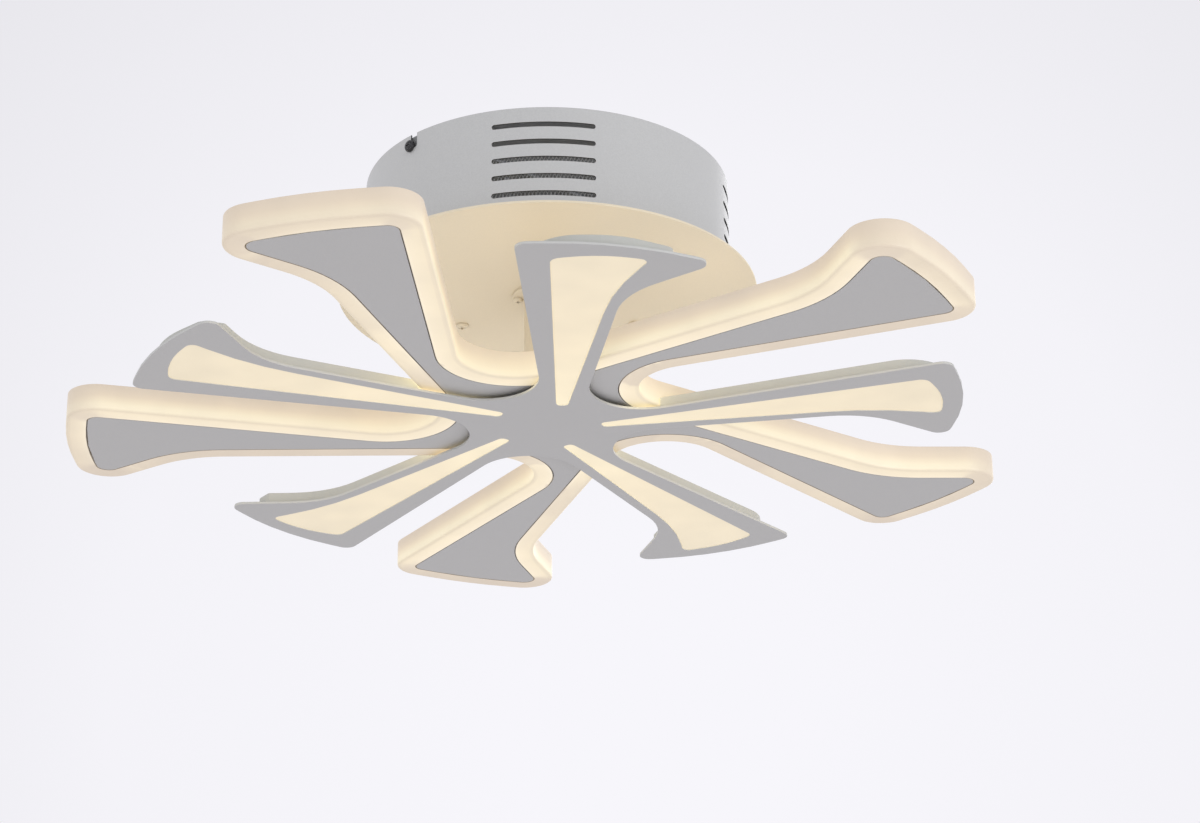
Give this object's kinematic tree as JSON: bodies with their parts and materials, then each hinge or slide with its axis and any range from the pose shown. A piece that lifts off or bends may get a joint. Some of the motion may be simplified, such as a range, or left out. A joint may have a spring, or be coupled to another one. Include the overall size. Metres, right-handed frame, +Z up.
{
  "type": "led ceiling light",
  "caption": "Ceiling light with two interleaved flat stars, one frosted acrylic and one metal with lit windows, on a vented round canopy.",
  "frame": {"origin": "the middle between the two ceiling holes, on the bracket's upper face, which lies on the ceiling", "axes": "+Z up into the ceiling; -Y towards the side that the picture shows in front, where one arm of the framed star points; +X to the right in the picture"},
  "size_m": [0.765, 0.7691, 0.208],
  "materials": {
    "bracket_steel": "zinc-plated sheet",
    "dark_screw": "black oxide",
    "brass": "plain",
    "silver_paint": "fine silver paint, satin",
    "mesh": "dark woven wire",
    "cover_paint": "pale champagne paint, satin",
    "zinc": "zinc plated",
    "driver_case": "fine texture",
    "terminal_plastic": "plain",
    "lead": "plain",
    "acrylic": "frosted, warm white when lit",
    "window_acrylic": "frosted, warm white when lit",
    "base_metal": "white paint, matte",
    "tray_metal": "pale grey paint, satin",
    "board": "white solder mask"
  },
  "bodies": {
    "bracket": {"ceiling_bracket": "bracket_steel", "side_screws": "dark_screw", "earth_screw": "brass"},
    "lamp": {"canopy_drum": "silver_paint", "vent_screen": "mesh", "cover_plate": "cover_paint", "cover_nuts": "zinc", "led_driver": "driver_case", "driver_screws": "cover_paint", "driver_nuts": "zinc", "terminal_block": "terminal_plastic", "mains_lead": "lead", "output_lead": "lead", "stem": "cover_paint", "stem_screws": "cover_paint", "stem_nuts": "zinc", "acrylic_star": "acrylic", "inlay_star": "silver_paint", "base_plate": "base_metal", "base_screws": "zinc", "star_board_1": "board", "star_board_2": "board", "star_board_3": "board", "star_board_4": "board", "star_board_5": "board", "junction_block": "terminal_plastic", "star_leads": "lead", "framed_plate": "silver_paint", "window_1": "window_acrylic", "window_2": "window_acrylic", "window_3": "window_acrylic", "window_4": "window_acrylic", "window_5": "window_acrylic", "tray_1": "tray_metal", "tray_2": "tray_metal", "tray_3": "tray_metal", "tray_4": "tray_metal", "tray_5": "tray_metal", "tray_board_1": "board", "tray_board_2": "board", "tray_board_3": "board", "tray_board_4": "board", "tray_board_5": "board", "tray_screws": "zinc", "tray_leads": "lead", "gap_sleeves": "zinc", "hub_sleeves": "zinc", "hub_nuts": "zinc"}
  },
  "joints": [
    {"name": "canopy_twist", "type": "hinge", "parent": "bracket", "child": "lamp", "pos_m": [0, 0, 0], "axis": [0, 0, 1], "range_deg": [-1.5, 0]}
  ]
}
